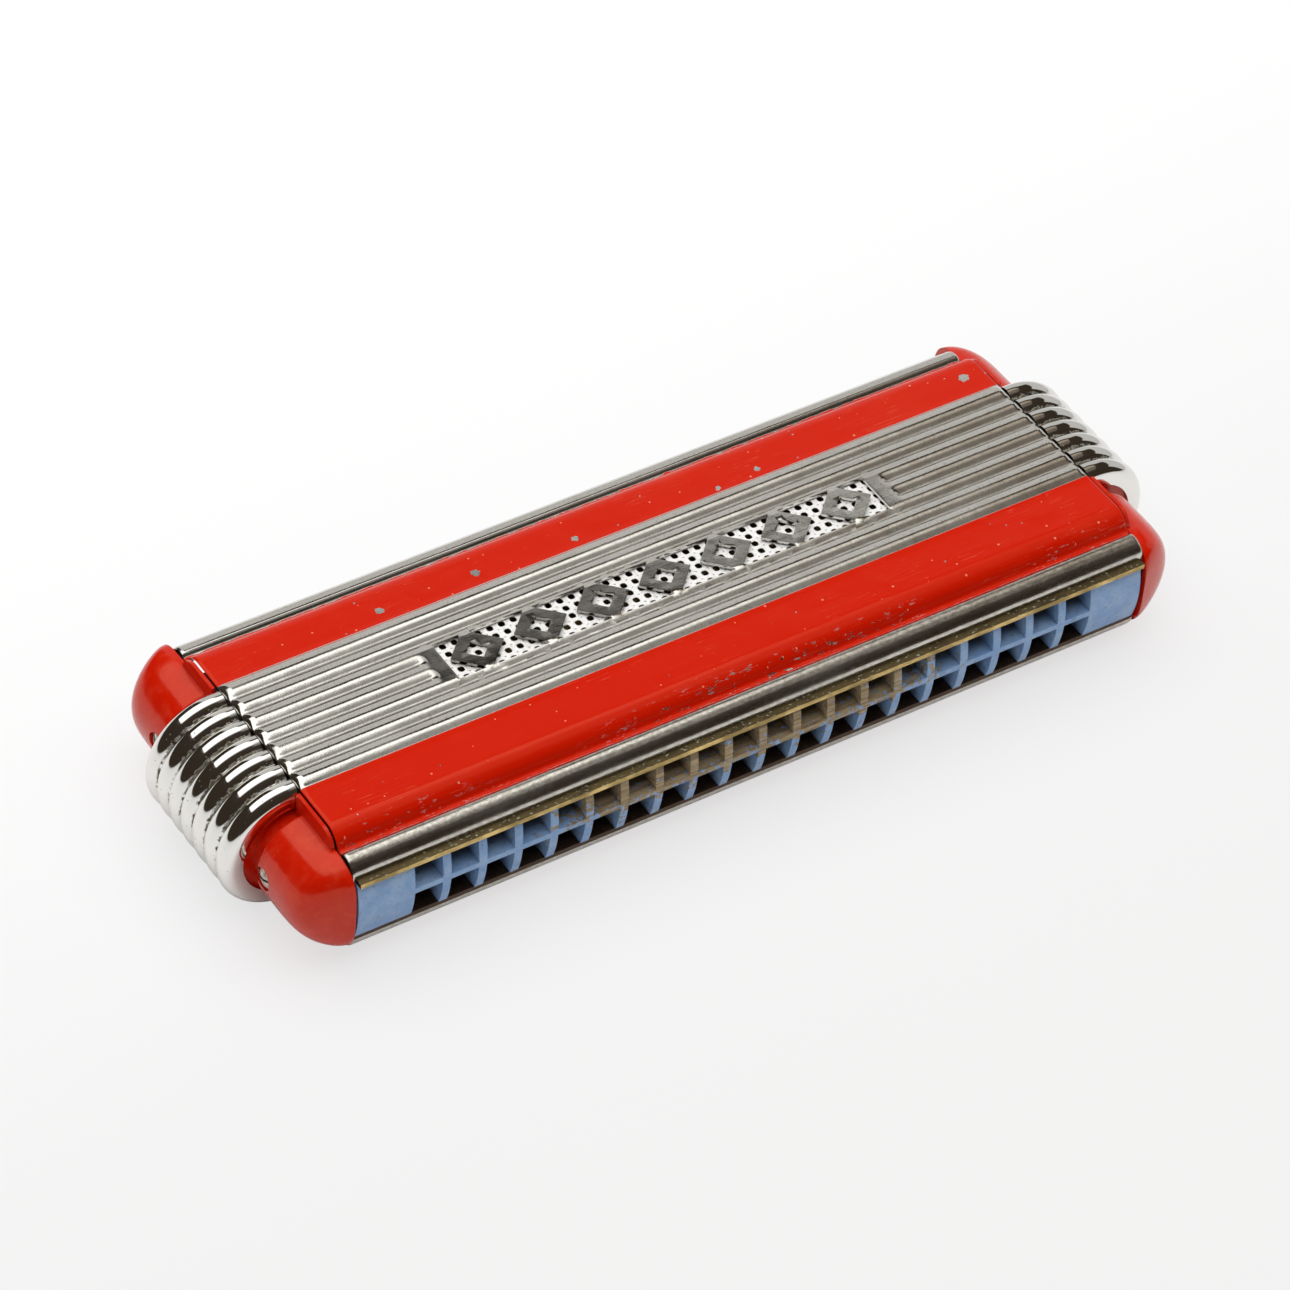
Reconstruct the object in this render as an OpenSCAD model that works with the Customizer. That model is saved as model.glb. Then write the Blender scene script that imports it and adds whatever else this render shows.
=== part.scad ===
// Tremolo harmonica with ribbed covers, rounded end caps and ribbed end bands.
// X runs along the length, -Y is the mouth side and Z is up.
// The origin is under the middle of the body, on the crest plane of the lower cover's ribs.

/* [Holes] */
// Number of hole columns in each row
column_count = 20; // [10:2:24]
// Distance between neighbouring hole columns
hole_pitch = 6.2; // [5.8:0.1:7]
// Width of one hole
hole_w = 4.8; // [4:0.1:5]
// Thickness of the septum between the two rows of holes
septum_t = 1.0; // [0.8:0.1:1.4]

/* [Body] */
// Distance from the last hole to the end of the covers
end_block_w = 10.1; // [9:0.1:12]
// Half thickness of the wooden comb
comb_rise = 5.5; // [5.3:0.1:6]
// Radius of the rounded mouth face of the comb
mouth_r = 18.0; // [15:0.5:22]
// Half depth of the body over the end caps
half_depth = 29.2; // [29:0.1:30]
// Distance from the middle of the body to the front edge of the upper reed plate
plate_front = 29.1; // [28.7:0.1:29.2]
// Distance from the middle of the body to the front edge of the lower reed plate
lower_plate_front = 27.9; // [27.8:0.1:28.9]
// Thickness of a reed plate
plate_t = 0.85; // [0.7:0.05:1]

/* [Covers] */
// Height of the flat painted bands above the middle plane
land_rise = 11.4; // [11.2:0.1:11.8]
// Height of the rib crests above the painted bands
rib_rise = 0.6; // [0.4:0.05:0.8]
// Number of ribs across a cover and across an end band
rib_count = 7; // [7:2:9]
// Width of the ribbed zone
rib_zone_w = 24.4; // [23:0.1:26]
// Thickness of the cover sheet
sheet_t = 0.45; // [0.35:0.05:0.5]

/* [Reeds] */
// Length of the lowest reed
reed_len_low = 21.0; // [18:0.5:22]
// Length of the highest reed
reed_len_high = 11.0; // [9:0.5:14]
// Width of a reed tongue
reed_w = 2.4; // [2:0.1:2.6]
// Thickness of a reed
reed_t = 0.25; // [0.2:0.01:0.3]

/* [Ends] */
// Radius of the rounded end-cap lobes
lobe_r = 8.2; // [8.1:0.05:8.8]
// Radius over the ridges of the end bands
band_r = 11.5; // [11.3:0.1:11.8]
// Height of the ridges on the end bands
ridge_rise = 1.1; // [0.8:0.05:1.2]
// Distance of each end screw from the middle of the body
screw_y = 15.9; // [15.6:0.1:17]

/* [Hidden] */
$fn = 64;
mid_z = land_rise + rib_rise;
holes_half = (column_count * hole_pitch - (hole_pitch - hole_w)) / 2;
cover_half = holes_half + end_block_w;
seam_gap = 0.25;
end_x = cover_half + seam_gap;
tab_t = sheet_t;
comb_half = cover_half - tab_t;
eps = 0.01;
past = 1; // How far a cutting shape runs past the faces it opens

// Comb
mouth_y = -28.9;
mouth_depth = 8;
comb_back_y = 6.5;
arm_back_y = 21;
arm_x = holes_half + 0.3;
cell_back_y = 3.4;
pilot_len = 9;

// Covers
rib_pitch = rib_zone_w / rib_count;
crest_cut = 0.015;
rib_lap = 0.2;
rib_arc_h = rib_rise + crest_cut;
rib_arc_r = (pow(rib_pitch / 2, 2) + pow(rib_arc_h, 2)) / (2 * rib_arc_h);
land_y = 19.8;
shoulder_r = 3.4;
groove_r = 0.55;
groove_y = 23.95;
groove_rise = 9.05;
nose_r = 2.75;
nose_y = 25.05;
nose_rise = comb_rise + plate_t;
rear_trim = 1.6; // How much less the covers reach at the back than at the mouth side
rear_lip_rise = 4.2;
rear_lip_r = 0.6;
tab_y0 = 14.2;
tab_y1 = 19.4;
tab_foot = 2.0;

// Pierced window and its grille
window_half_l = 39.2;
window_half_w = 4.0;
panel_half_l = 41.4;
panel_half_w = rib_pitch;
lozenge_count = 7;
lozenge_l = 9.2;
lozenge_bar = [2.3, 2.1];
lozenge_lap = 0.3;
grille_half_l = 40.6;
grille_half_w = 4.5;
grille_drop = 0.8;
grille_t = 0.35;
grille_foot_l = 0.9;
grille_side_gap = 0.2;
grille_cols = 44;
grille_rows = 5;
grille_hole_l = 1.05;
grille_hole_w = 0.95;

// Reeds
root_y = -1.5;
root_gap = 0.05;
slot_side_gap = 0.1;
slot_tip_gap = 0.25;
pad_l = 4.4;
pad_w = 3.6;
rivet_y = 0.9;
rivet_r = 0.5;
rivet_head_r = 0.9;
rivet_head_t = 0.32;
fit_gap = 0.02;
plate_half = comb_half - 0.05;
plate_back_y = 6.0;

// Plate nails
nail_r = 0.45;
nail_head_r = 1.0;
nail_head_t = 0.35;
nail_len = 5;
nail_spots = [
    for (sx = [-1, 1]) [sx * (holes_half + 4.8), -20],
    for (sx = [-1, 1]) [sx * (holes_half + 4.8), 0],
    for (x = [-31, 0, 31]) [x, 4.75]
];

// End caps, bands and screws
drum_half_w = 11.7;
drum_r = band_r - ridge_rise - 0.55;
groove_floor_r = 7.0;
lobe_y = 14.0;
lobe_corner_r = 4.0;
lobe_bulge_r = 12.0;
lobe_corner_y = half_depth - lobe_bulge_r
    + sqrt(pow(lobe_bulge_r - lobe_corner_r, 2) - pow(lobe_r - lobe_corner_r, 2));
lobe_edge_r = 0.6;
cap_wall = 1.0;
cap_mouth_half_w = 10.2;
cap_mouth_half_h = 6;
lobe_mouth_y = [20.5, 24.5];
lobe_mouth_half_h = 5;
collar_t = 0.6;
collar_inset = 1.2;
collar_step = 0.35;
band_room = 0.8;
band_t = 0.5;
band_run = 1.0;
band_rim_r = 8.2;
boss_r = 2.2;
boss_reach = 7.55;
boss_bore_r = 1.2;
seat_reach = 7.3;
seat_r = 1.95;
screw_head_r = 1.75;
screw_head_t = 0.55;
screw_dome = 0.4;
screw_r = 1.0;
screw_slot_w = 0.45;
screw_slot_d = 0.5;
screw_tip_gap = 0.5;

silver = [0.78, 0.77, 0.74];
chrome = [0.86, 0.86, 0.85];
enamel = [0.83, 0.1, 0.02];
comb_blue = [0.49, 0.63, 0.8];
plate_brass = [0.6, 0.5, 0.28];
reed_brass = [0.75, 0.62, 0.33];

function column_x(i) = (i - (column_count - 1) / 2) * hole_pitch;
function reed_len(i) = reed_len_low + (reed_len_high - reed_len_low) * i / (column_count - 1);
function is_blow(i) = i % 2 == 0;
function rib_y(k) = (k - (rib_count - 1) / 2) * rib_pitch;

// Heights are given above the middle plane of the body
module above_mid() { translate([0, 0, mid_z]) children(); }
// Turns an upper part into its lower twin
module lower_twin() { translate([0, 0, mid_z]) mirror([0, 0, 1]) translate([0, 0, -mid_z]) children(); }
module left_twin() { mirror([1, 0, 0]) children(); }
// Runs a profile drawn in (y, z) along X from x0 to x1
module along_x(x0, x1) {
    translate([x0, 0, 0]) rotate([90, 0, 90]) linear_extrude(x1 - x0) children();
}
// Turns a profile drawn in (radius, y) half way round the end of the body
module turned_end() {
    translate([end_x, 0, mid_z]) rotate([-90, 0, 0]) rotate([0, 0, -90]) rotate_extrude(angle = 180) children();
}
// Part of a flat ring between two angles less than 180 degrees apart
module ring_sector(cy, cz, r_out, r_in, a0, a1) {
    reach = 3 * r_out;
    mid_a = (a0 + a1) / 2;
    translate([cy, cz]) intersection() {
        difference() {
            circle(r_out);
            circle(r_in);
        }
        polygon([[0, 0], reach * [cos(a0), sin(a0)], reach * [cos(mid_a), sin(mid_a)],
            reach * [cos(a1), sin(a1)]]);
    }
}
module box(x0, x1, y0, y1, z0, z1) {
    translate([x0, y0, z0]) cube([x1 - x0, y1 - y0, z1 - z0]);
}

// ---- Comb ----

module comb_profile() {
    bulge_back = mouth_y + mouth_depth;
    intersection() {
        translate([mouth_y + mouth_r, 0]) circle(mouth_r, $fn = 128);
        translate([mouth_y - past, -comb_rise]) square([bulge_back - mouth_y + past, 2 * comb_rise]);
    }
    translate([bulge_back - eps, -comb_rise]) square([comb_back_y - bulge_back + eps, 2 * comb_rise]);
}
module comb_cells() {
    for (i = [0 : column_count - 1], side = [-1, 1]) {
        low = side > 0 ? septum_t / 2 : -comb_rise - past;
        translate([column_x(i) - hole_w / 2, mouth_y - past, low])
            cube([hole_w, cell_back_y - mouth_y + past, comb_rise + past - septum_t / 2]);
    }
}
module comb() {
    color(comb_blue) above_mid() difference() {
        union() {
            along_x(-comb_half, comb_half) comb_profile();
            for (sx = [-1, 1]) translate([sx < 0 ? -comb_half : arm_x, comb_back_y - eps, -comb_rise])
                cube([comb_half - arm_x, arm_back_y - comb_back_y + eps, 2 * comb_rise]);
        }
        comb_cells();
        for (sx = [-1, 1], sy = [-1, 1]) translate([sx * (comb_half - pilot_len), sy * screw_y, 0])
            rotate([0, sx * 90, 0]) cylinder(h = pilot_len + past, r = screw_r + fit_gap);
        for (spot = nail_spots, side = [-1, 1]) translate([spot[0], spot[1], side * (comb_rise - nail_len / 2)])
            cylinder(h = nail_len + 2 * past, r = nail_r + fit_gap, center = true);
    }
}

// ---- Reed plates, reeds and their fasteners ----

module reed_plate(front) {
    difference() {
        translate([-plate_half, -front, comb_rise]) cube([2 * plate_half, front + plate_back_y, plate_t]);
        for (i = [0 : column_count - 1]) {
            slot_w = reed_w + 2 * slot_side_gap;
            slot_l = reed_len(i) + slot_tip_gap + root_gap;
            translate([column_x(i) - slot_w / 2, root_y + root_gap - slot_l, comb_rise - past])
                cube([slot_w, slot_l, plate_t + 2 * past]);
            translate([column_x(i), rivet_y, comb_rise - past])
                cylinder(h = plate_t + 2 * past, r = rivet_r + fit_gap);
        }
        for (spot = nail_spots) translate([spot[0], spot[1], comb_rise - past])
            cylinder(h = plate_t + 2 * past, r = nail_r + fit_gap);
    }
}
// Blow reeds lie on the inner face of their plate and draw reeds on its outer face
function reed_base(blow) = blow ? comb_rise - reed_t : comb_rise + plate_t;

module reed_tongues(blow) {
    for (i = [0 : column_count - 1]) if (is_blow(i) == blow)
        translate([column_x(i) - reed_w / 2, root_y - reed_len(i), reed_base(blow)])
            cube([reed_w, reed_len(i), reed_t]);
}
module reed_roots() {
    for (i = [0 : column_count - 1]) difference() {
        translate([column_x(i) - pad_w / 2, root_y + root_gap, reed_base(is_blow(i))]) cube([pad_w, pad_l, reed_t]);
        translate([column_x(i), rivet_y, comb_rise - past])
            cylinder(h = plate_t + 2 * past, r = rivet_r + fit_gap);
    }
}
module rivets() {
    for (i = [0 : column_count - 1]) {
        low = is_blow(i) ? comb_rise - reed_t : comb_rise;
        high = comb_rise + plate_t + (is_blow(i) ? 0 : reed_t);
        translate([column_x(i), rivet_y, 0]) union() {
            translate([0, 0, low - eps]) cylinder(h = high - low + 2 * eps, r = rivet_r);
            translate([0, 0, high]) cylinder(h = rivet_head_t, r = rivet_head_r);
            translate([0, 0, low - rivet_head_t]) cylinder(h = rivet_head_t, r = rivet_head_r);
        }
    }
}
module plate_nails() {
    top = comb_rise + plate_t;
    for (spot = nail_spots) translate([spot[0], spot[1], top]) union() {
        cylinder(h = nail_head_t, r = nail_head_r);
        translate([0, 0, eps - nail_len]) cylinder(h = nail_len, r = nail_r);
    }
}

module upper_reed_plate() { color(plate_brass) above_mid() reed_plate(plate_front); }
module lower_reed_plate() { color(plate_brass) lower_twin() above_mid() reed_plate(lower_plate_front); }
module upper_blow_reeds() { color(reed_brass) above_mid() reed_tongues(true); }
module upper_draw_reeds() { color(reed_brass) above_mid() reed_tongues(false); }
module lower_blow_reeds() { lower_twin() upper_blow_reeds(); }
module lower_draw_reeds() { lower_twin() upper_draw_reeds(); }
module upper_reed_roots() { color(reed_brass) above_mid() reed_roots(); }
module lower_reed_roots() { lower_twin() upper_reed_roots(); }
module upper_reed_rivets() { color(plate_brass) above_mid() rivets(); }
module lower_reed_rivets() { lower_twin() upper_reed_rivets(); }
module upper_plate_nails() { color(plate_brass) above_mid() plate_nails(); }
module lower_plate_nails() { lower_twin() upper_plate_nails(); }

// ---- Covers ----

module rib_sheet() {
    centre = land_rise + rib_arc_h - rib_arc_r;
    for (k = [0 : rib_count - 1]) intersection() {
        translate([rib_y(k), centre]) difference() {
            circle(rib_arc_r);
            circle(rib_arc_r - sheet_t);
        }
        translate([rib_y(k) - rib_pitch / 2 - eps / 2, centre])
            square([rib_pitch + eps, land_rise + rib_rise - centre]);
    }
}
// One side of the cover outside the ribbed zone, shortened by trim
module side_sheet(trim) {
    start = rib_zone_w / 2 - rib_lap;
    translate([start, land_rise - sheet_t]) square([land_y - trim - start + eps, sheet_t]);
    ring_sector(land_y - trim, land_rise - shoulder_r, shoulder_r, shoulder_r - sheet_t, 12, 91);
    ring_sector(groove_y - trim, groove_rise, groove_r + sheet_t, groove_r, 196, 330);
    ring_sector(nose_y - trim, nose_rise, nose_r, nose_r - sheet_t, 0, 100);
}
module rear_lip() {
    wall_y = nose_y + nose_r - sheet_t - rear_trim;
    translate([wall_y, rear_lip_rise]) square([sheet_t, nose_rise - rear_lip_rise + eps]);
    ring_sector(wall_y + sheet_t - rear_lip_r, rear_lip_rise, rear_lip_r, rear_lip_r - sheet_t, 190, 361);
}
module cover_section() {
    rib_sheet();
    side_sheet(rear_trim);
    mirror([1, 0]) side_sheet(0);
    rear_lip();
}
module lozenge() {
    outer = [lozenge_l / 2, window_half_w + lozenge_lap];
    inner = outer - lozenge_bar;
    difference() {
        polygon([[-outer[0], 0], [0, outer[1]], [outer[0], 0], [0, -outer[1]]]);
        polygon([[-inner[0], 0], [0, inner[1]], [inner[0], 0], [0, -inner[1]]]);
    }
}
module window_cut() {
    step = 2 * window_half_l / lozenge_count;
    difference() {
        square([2 * window_half_l, 2 * window_half_w], center = true);
        for (k = [0 : lozenge_count - 1]) translate([(k - (lozenge_count - 1) / 2) * step, 0]) lozenge();
    }
}
module end_tabs() {
    for (sx = [-1, 1], sy = [-1, 1]) {
        x0 = sx > 0 ? comb_half : -cover_half;
        y0 = sy > 0 ? tab_y0 : -tab_y1;
        box(x0, x0 + tab_t, y0, y0 + tab_y1 - tab_y0, tab_foot, land_rise - sheet_t + eps);
    }
}
module cover() {
    crest = land_rise + rib_rise;
    difference() {
        union() {
            difference() {
                along_x(-cover_half, cover_half) cover_section();
                box(-panel_half_l, panel_half_l, -panel_half_w, panel_half_w, crest - 2 * past, crest + past);
            }
            box(-panel_half_l, panel_half_l, -panel_half_w - eps, panel_half_w + eps, crest - sheet_t, crest);
            for (sx = [-1, 1]) box(sx * panel_half_l - sheet_t / 2, sx * panel_half_l + sheet_t / 2,
                -panel_half_w - eps, panel_half_w + eps, land_rise - sheet_t, crest);
            end_tabs();
        }
        translate([0, 0, crest - past]) linear_extrude(2 * past) window_cut();
    }
}
module grille() {
    crest = land_rise + rib_rise;
    top = crest - grille_drop;
    col_step = 2 * window_half_l / grille_cols;
    row_step = 2 * window_half_w / grille_rows;
    difference() {
        union() {
            box(-grille_half_l, grille_half_l, -grille_half_w, grille_half_w, top - grille_t, top);
            for (x0 = [-grille_half_l, grille_half_l - grille_foot_l])
                box(x0, x0 + grille_foot_l, grille_side_gap - panel_half_w, panel_half_w - grille_side_gap,
                    top - grille_t, crest - sheet_t);
        }
        for (i = [0 : grille_cols - 1], j = [0 : grille_rows - 1])
            translate([(i - (grille_cols - 1) / 2) * col_step, (j - (grille_rows - 1) / 2) * row_step, top])
                cube([grille_hole_l, grille_hole_w, 2 * past], center = true);
    }
}

module upper_cover() { color(silver) above_mid() cover(); }
module lower_cover() { lower_twin() upper_cover(); }
module upper_grille() { color(silver) above_mid() grille(); }
module lower_grille() { lower_twin() upper_grille(); }

// ---- End caps, bands and screws ----

// Lobe profile in (radius, y); a wall thickness shrinks it to the hollow inside
module lobe_profile(wall) {
    corner_x = lobe_r - lobe_corner_r;
    bulge_y = half_depth - lobe_bulge_r;
    edge = wall > 0 ? 0 : lobe_edge_r;
    translate([0, lobe_y + wall]) square([lobe_r - wall - edge, lobe_corner_y - lobe_y - wall]);
    translate([0, lobe_y + wall + edge]) square([lobe_r - wall, lobe_corner_y - lobe_y - wall - edge]);
    if (edge > 0) translate([lobe_r - edge, lobe_y + edge]) circle(edge);
    translate([corner_x, lobe_corner_y]) circle(lobe_corner_r - wall);
    translate([0, bulge_y]) intersection() {
        circle(lobe_bulge_r - wall);
        polygon([[0, 0], [0, 3 * lobe_bulge_r], 3 * [corner_x, lobe_corner_y - bulge_y]]);
    }
}
module cap_outer_profile() {
    translate([0, -drum_half_w]) square([drum_r, 2 * drum_half_w]);
    translate([0, -lobe_y - eps]) square([groove_floor_r, 2 * lobe_y + 2 * eps]);
    for (s = [0, 1]) mirror([0, s]) lobe_profile(0);
}
module cap_inner_profile() {
    wall = cap_wall;
    translate([0, wall - drum_half_w]) square([drum_r - wall, 2 * (drum_half_w - wall)]);
    translate([0, -lobe_y - 2 * wall]) square([groove_floor_r - wall, 2 * lobe_y + 4 * wall]);
    for (s = [0, 1]) mirror([0, s]) lobe_profile(wall);
}
module rounded_plate(half_y, half_z, r) {
    square([2 * half_y, 2 * (half_z - r)], center = true);
    square([2 * (half_y - r), 2 * half_z], center = true);
    for (sy = [-1, 1], sz = [-1, 1]) translate([sy * (half_y - r), sz * (half_z - r)]) circle(r);
}
// Outline of the collar that closes the end of the covers above and below the lobes
module collar_outline(inset) {
    step = collar_step + inset;
    difference() {
        translate([-rear_trim / 2, 0])
            rounded_plate(land_y + shoulder_r - step - rear_trim / 2, land_rise - step, shoulder_r - collar_step);
        square([2 * (drum_half_w + band_room), 4 * land_rise], center = true);
    }
}
module cap_void() {
    turned_end() cap_inner_profile();
    above_mid() box(cover_half - past, end_x + past, -cap_mouth_half_w, cap_mouth_half_w,
        -cap_mouth_half_h, cap_mouth_half_h);
    for (s = [0, 1]) mirror([0, s, 0]) above_mid() box(cover_half - past, end_x + 2 * cap_wall,
        lobe_mouth_y[0], lobe_mouth_y[1], -lobe_mouth_half_h, lobe_mouth_half_h);
}
module end_cap() {
    difference() {
        union() {
            difference() {
                union() {
                    turned_end() cap_outer_profile();
                    above_mid() along_x(end_x, end_x + collar_t) collar_outline(0);
                    above_mid() along_x(cover_half, end_x + eps) collar_outline(collar_inset);
                }
                cap_void();
            }
            for (sy = [-1, 1]) translate([cover_half, sy * screw_y, mid_z]) rotate([0, 90, 0])
                cylinder(h = seam_gap + boss_reach, r = boss_r);
        }
        for (sy = [-1, 1]) translate([cover_half - past, sy * screw_y, mid_z]) rotate([0, 90, 0]) {
            cylinder(h = 2 * lobe_r, r = boss_bore_r);
            translate([0, 0, past + seat_reach]) cylinder(h = lobe_r, r = seat_r);
        }
    }
}
module band_profile() {
    arc_r = (pow(rib_pitch / 2, 2) + pow(ridge_rise, 2)) / (2 * ridge_rise);
    centre = band_r - arc_r;
    floor_r = band_r - ridge_rise - band_t;
    last = (rib_count - 1) / 2 * rib_pitch;
    for (k = [0 : rib_count - 1]) intersection() {
        translate([centre, rib_y(k)]) difference() {
            circle(arc_r);
            circle(arc_r - band_t);
        }
        translate([floor_r, rib_y(k) - rib_pitch / 2 - eps / 2]) square([band_r, rib_pitch + eps]);
    }
    for (s = [0, 1]) mirror([0, s]) {
        intersection() {
            translate([centre, last]) difference() {
                circle(arc_r);
                circle(arc_r - band_t);
            }
            translate([centre, last]) square(2 * arc_r);
        }
        translate([band_rim_r, last + arc_r - band_t]) square([centre - band_rim_r + eps, band_t]);
    }
}
// The band runs straight out from the covers before it turns round the end
module end_band() {
    translate([band_run, 0, 0]) turned_end() band_profile();
    for (side = [0, 1]) above_mid() mirror([0, 0, side]) along_x(end_x, end_x + band_run + eps)
        rotate(-90) mirror([1, 0]) band_profile();
}

module end_screw() {
    shank_l = seat_reach + tab_t + pilot_len - screw_tip_gap;
    head_x = cover_half + seat_reach;
    translate([head_x, 0, mid_z]) rotate([0, 90, 0]) difference() {
        union() {
            cylinder(h = screw_head_t, r = screw_head_r);
            intersection() {
                dome_r = (pow(screw_head_r, 2) + pow(screw_dome, 2)) / (2 * screw_dome);
                translate([0, 0, screw_head_t + screw_dome - dome_r]) sphere(dome_r);
                cylinder(h = 2 * screw_head_t, r = screw_head_r);
            }
            translate([0, 0, eps - shank_l]) cylinder(h = shank_l, r = screw_r);
        }
        translate([0, 0, screw_head_t + screw_dome]) cube([3 * screw_head_r, screw_slot_w, 2 * screw_slot_d], center = true);
    }
}
module end_screws() {
    for (sy = [-1, 1]) translate([0, sy * screw_y, 0]) end_screw();
}

module right_end_cap() { color(enamel) end_cap(); }
module left_end_cap() { left_twin() right_end_cap(); }
module right_end_band() { color(chrome) end_band(); }
module left_end_band() { left_twin() right_end_band(); }
module right_end_screws() { color(silver) end_screws(); }
module left_end_screws() { left_twin() right_end_screws(); }

comb();
upper_reed_plate();
lower_reed_plate();
upper_blow_reeds();
upper_draw_reeds();
lower_blow_reeds();
lower_draw_reeds();
upper_reed_roots();
lower_reed_roots();
upper_reed_rivets();
lower_reed_rivets();
upper_plate_nails();
lower_plate_nails();
upper_cover();
lower_cover();
upper_grille();
lower_grille();
left_end_cap();
right_end_cap();
left_end_band();
right_end_band();
left_end_screws();
right_end_screws();
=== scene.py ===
import math

import bmesh
import bpy
import numpy as np
from mathutils import Matrix, Vector
from mathutils.geometry import delaunay_2d_cdt


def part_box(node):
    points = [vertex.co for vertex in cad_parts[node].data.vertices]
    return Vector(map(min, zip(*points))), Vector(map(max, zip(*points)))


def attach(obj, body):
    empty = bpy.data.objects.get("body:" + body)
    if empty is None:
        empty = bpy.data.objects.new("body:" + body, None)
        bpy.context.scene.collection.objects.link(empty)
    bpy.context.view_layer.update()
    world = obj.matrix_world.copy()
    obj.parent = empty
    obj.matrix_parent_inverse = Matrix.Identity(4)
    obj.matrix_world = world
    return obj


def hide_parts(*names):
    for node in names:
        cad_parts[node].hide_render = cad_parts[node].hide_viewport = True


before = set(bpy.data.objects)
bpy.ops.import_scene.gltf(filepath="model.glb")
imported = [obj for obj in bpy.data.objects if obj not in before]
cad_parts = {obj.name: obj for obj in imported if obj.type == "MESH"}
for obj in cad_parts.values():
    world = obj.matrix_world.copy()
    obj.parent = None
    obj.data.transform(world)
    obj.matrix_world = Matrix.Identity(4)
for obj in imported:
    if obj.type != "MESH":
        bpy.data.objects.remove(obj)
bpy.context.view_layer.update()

# ---- Sizes: millimetres, heights counted from the middle plane of the body ----

MM = 0.001


def span(node, axis):
    """Lowest and highest place of a CAD node along an axis, in millimetres."""
    low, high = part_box(node)
    return low[axis] / MM, high[axis] / MM


MID = sum(span("comb", 2)) / 2
COVER_HALF = span("upper_cover", 0)[1]
CREST = span("upper_cover", 2)[1] - MID
COMB_HALF = span("comb", 0)[1]
COMB_RISE = span("comb", 2)[1] - MID
COMB_FRONT, COMB_BACK = span("comb", 1)
PLATE_TOP = span("upper_reed_plate", 2)[1] - MID
CAP_TIP = span("right_end_cap", 0)[1]
CAP_DEPTH = span("right_end_cap", 1)[1]
BAND_TIP = span("right_end_band", 0)[1]
GRILLE_HALF_L = span("upper_grille", 0)[1]
GRILLE_HALF_W = span("upper_grille", 1)[1]
SCREW_SIDE = span("right_end_screws", 1)[1]

# Covers
RIB_RISE = 0.6
LAND = CREST - RIB_RISE
RIB_COUNT = 7
RIB_ZONE = 24.4
PITCH = RIB_ZONE / RIB_COUNT
RIB_ARC = ((PITCH / 2) ** 2 + RIB_RISE ** 2) / (2 * RIB_RISE)
CREASE_BLUR = 0.2
SHEET = 0.45
LAND_EDGE = 19.8
SHOULDER_R = 3.4
NOSE_R = 2.75
NOSE_Y = 25.05
LIP_DROP = 4.2
GROOVE = (23.76, 9.23)
GROOVE_R = 0.68
REAR_TRIM = 1.6
PAINT_END = 24.0
RIB_RAMP = 0.95

# Window
PANEL_HALF = 41.4
PANEL_RAMP = 1.3
WINDOW_HALF_L = 39.2
WINDOW_HALF_W = 4.05
STRIP_HALF_L = 44.0
STRIP_HALF_W = 1.5 * PITCH
LOZENGE_COUNT = 7
LOZENGE_OUT = (4.75, 4.6)
LOZENGE_IN = (1.95, 1.9)
GRILLE_DROP = 0.8

# Comb
COLUMNS = 20
HOLE_PITCH = 6.2
HOLE_W = 4.8
SEPTUM = 1.0
MOUTH_R = 18.0
CELL_BACK = 3.4

# Ends
END_X = COVER_HALF + 0.25
LOBE_R = 8.1
BAND_RUN = 1.0
BAND_R = BAND_TIP - END_X - BAND_RUN
RIDGE_RISE = 1.1
BAND_SHEET = 0.5
BAND_RIM = 8.2
DRUM_R = BAND_R - RIDGE_RISE - 0.55
DRUM_HALF_W = 11.7
GROOVE_FLOOR = 7.0
LOBE_Y = 14.0
LOBE_RISE = 8.45
LOBE_EDGE = 0.6
LOBE_PLAN = (7.0, 1.1)
LOBE_FACE = (8.0, 0.31)
CAP_WALL = 1.0
CAP_LAP = 0.1
COLLAR_T = 0.6
COLLAR_STEP = 0.35
COLLAR_INSET = 1.2
BAND_ROOM = 0.8
SCREW_HEAD_R = 1.75
SCREW_Y = SCREW_SIDE - SCREW_HEAD_R
SEAT_X = COVER_HALF + 7.3
WELL_R = 1.95

# ---- Mesh helpers ----


def place(points):
    """Points in millimetres above the middle plane, as vertices in the frame."""
    return [(x * MM, y * MM, (z + MID) * MM) for x, y, z in points]


def make_object(name, points, faces):
    mesh = bpy.data.meshes.new(name)
    mesh.from_pydata(place(points), [], faces)
    mesh.validate()
    obj = bpy.data.objects.new(name, mesh)
    bpy.context.scene.collection.objects.link(obj)
    return obj


def clean(obj, merge=1e-6):
    """Merges doubled vertices, drops flat slivers and turns every face outward."""
    bm = bmesh.new()
    bm.from_mesh(obj.data)
    bmesh.ops.remove_doubles(bm, verts=bm.verts, dist=merge)
    bmesh.ops.dissolve_degenerate(bm, edges=bm.edges, dist=merge)
    bmesh.ops.recalc_face_normals(bm, faces=bm.faces)
    bm.to_mesh(obj.data)
    bm.free()
    return obj


def smooth(obj, angle=32):
    obj.data.shade_smooth()
    obj.data.set_sharp_from_angle(angle=math.radians(angle))
    return obj


def bake(obj):
    """Replaces the object's mesh by its modified mesh."""
    bpy.context.view_layer.update()
    graph = bpy.context.evaluated_depsgraph_get()
    mesh = bpy.data.meshes.new_from_object(obj.evaluated_get(graph))
    obj.modifiers.clear()
    obj.data = mesh
    return obj


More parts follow.
